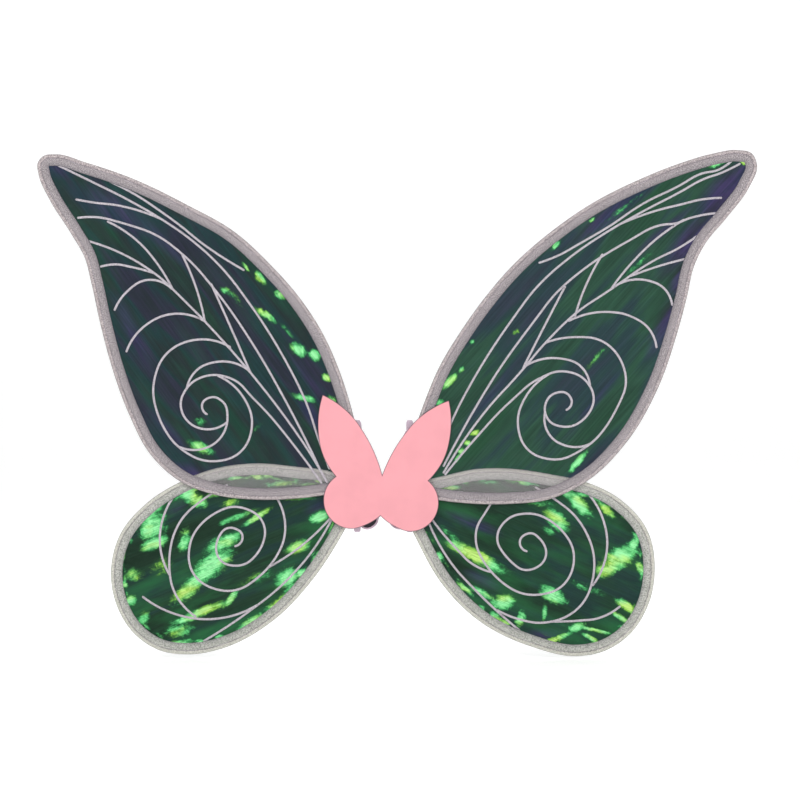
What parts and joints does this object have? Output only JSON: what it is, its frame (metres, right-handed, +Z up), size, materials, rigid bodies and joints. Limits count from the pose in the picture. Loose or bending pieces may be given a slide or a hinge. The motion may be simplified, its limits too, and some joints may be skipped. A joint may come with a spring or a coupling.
{
  "type": "fairy wings",
  "caption": "Dress-up wings: sheer dark iridescent panels on bent wire frames with ribbon edges and printed spiral veins, a pink butterfly centre and elastic shoulder loops.",
  "frame": {"origin": "on the wearer's side of the back pad, midway between the wing roots", "axes": "+X to the viewer's right seen from the show side, +Y towards the wearer's back, +Z up"},
  "size_m": [0.8495, 0.123, 0.5978],
  "materials": {
    "frame_wire": "plastic coated wire, satin",
    "edge_ribbon": "sheer glitter ribbon, satin",
    "iridescent_film": "iridescent crinkled film, glossy",
    "dark_net": "fine knitted net, matt",
    "glitter_print": "silver glitter print",
    "crimp_metal": "crimped, satin",
    "pink_foam": "smooth foam sheet, matt",
    "white_foam_tape": "closed cell foam, matt",
    "black_felt": "needled felt, matt",
    "mauve_thread": "overlocked thread, matt",
    "cloth_tape": "woven tape, matt",
    "strap_elastic": "woven elastic, matt",
    "strap_thread": "sewing thread"
  },
  "bodies": {
    "centre": {"front_cover": "pink_foam", "front_foam_tape": "white_foam_tape", "rear_foam_tape": "white_foam_tape", "back_pad": "black_felt", "back_pad_edging": "mauve_thread", "left_root_wrap": "cloth_tape", "right_root_wrap": "cloth_tape", "left_strap_ends": "strap_elastic", "right_strap_ends": "strap_elastic", "left_strap_stitching": "strap_thread", "right_strap_stitching": "strap_thread", "upper_left_wire_root": "frame_wire", "upper_right_wire_root": "frame_wire", "lower_left_wire_root": "frame_wire", "lower_right_wire_root": "frame_wire", "upper_left_crimp_sleeve": "crimp_metal", "upper_right_crimp_sleeve": "crimp_metal", "lower_left_crimp_sleeve": "crimp_metal", "lower_right_crimp_sleeve": "crimp_metal"},
    "upper_left_wing": {"upper_left_wire": "frame_wire", "upper_left_binding": "edge_ribbon", "upper_left_film": "iridescent_film", "upper_left_net": "dark_net", "upper_left_veins": "glitter_print"},
    "upper_right_wing": {"upper_right_wire": "frame_wire", "upper_right_binding": "edge_ribbon", "upper_right_film": "iridescent_film", "upper_right_net": "dark_net", "upper_right_veins": "glitter_print"},
    "lower_left_wing": {"lower_left_wire": "frame_wire", "lower_left_binding": "edge_ribbon", "lower_left_film": "iridescent_film", "lower_left_net": "dark_net", "lower_left_veins": "glitter_print"},
    "lower_right_wing": {"lower_right_wire": "frame_wire", "lower_right_binding": "edge_ribbon", "lower_right_film": "iridescent_film", "lower_right_net": "dark_net", "lower_right_veins": "glitter_print"},
    "left_strap": {"left_strap": "strap_elastic"},
    "right_strap": {"right_strap": "strap_elastic"}
  },
  "joints": [
    {"name": "upper_left_fold", "type": "hinge", "parent": "centre", "child": "upper_left_wing", "pos_m": [-0.04, -0.007, 0], "axis": [0, 0, -1], "range_deg": [0, 65]},
    {"name": "upper_right_fold", "type": "hinge", "parent": "centre", "child": "upper_right_wing", "pos_m": [0.04, -0.007, 0], "axis": [0, 0, 1], "range_deg": [0, 65]},
    {"name": "lower_left_fold", "type": "hinge", "parent": "centre", "child": "lower_left_wing", "pos_m": [-0.04, -0.007, 0], "axis": [0, 0, -1], "range_deg": [0, 72]},
    {"name": "lower_right_fold", "type": "hinge", "parent": "centre", "child": "lower_right_wing", "pos_m": [0.04, -0.007, 0], "axis": [0, 0, 1], "range_deg": [0, 72]},
    {"name": "left_strap_swing", "type": "hinge", "parent": "centre", "child": "left_strap", "pos_m": [-0.031, 0.0018, 0.01], "axis": [0, 0, 1], "range_deg": [-12, 12]},
    {"name": "right_strap_swing", "type": "hinge", "parent": "centre", "child": "right_strap", "pos_m": [0.031, 0.0018, 0.01], "axis": [0, 0, 1], "range_deg": [-12, 12]}
  ],
  "couplings": [
    {"joint": "lower_left_fold", "follows": "upper_left_fold", "ratio": 1.1},
    {"joint": "lower_right_fold", "follows": "upper_right_fold", "ratio": 1.1}
  ]
}
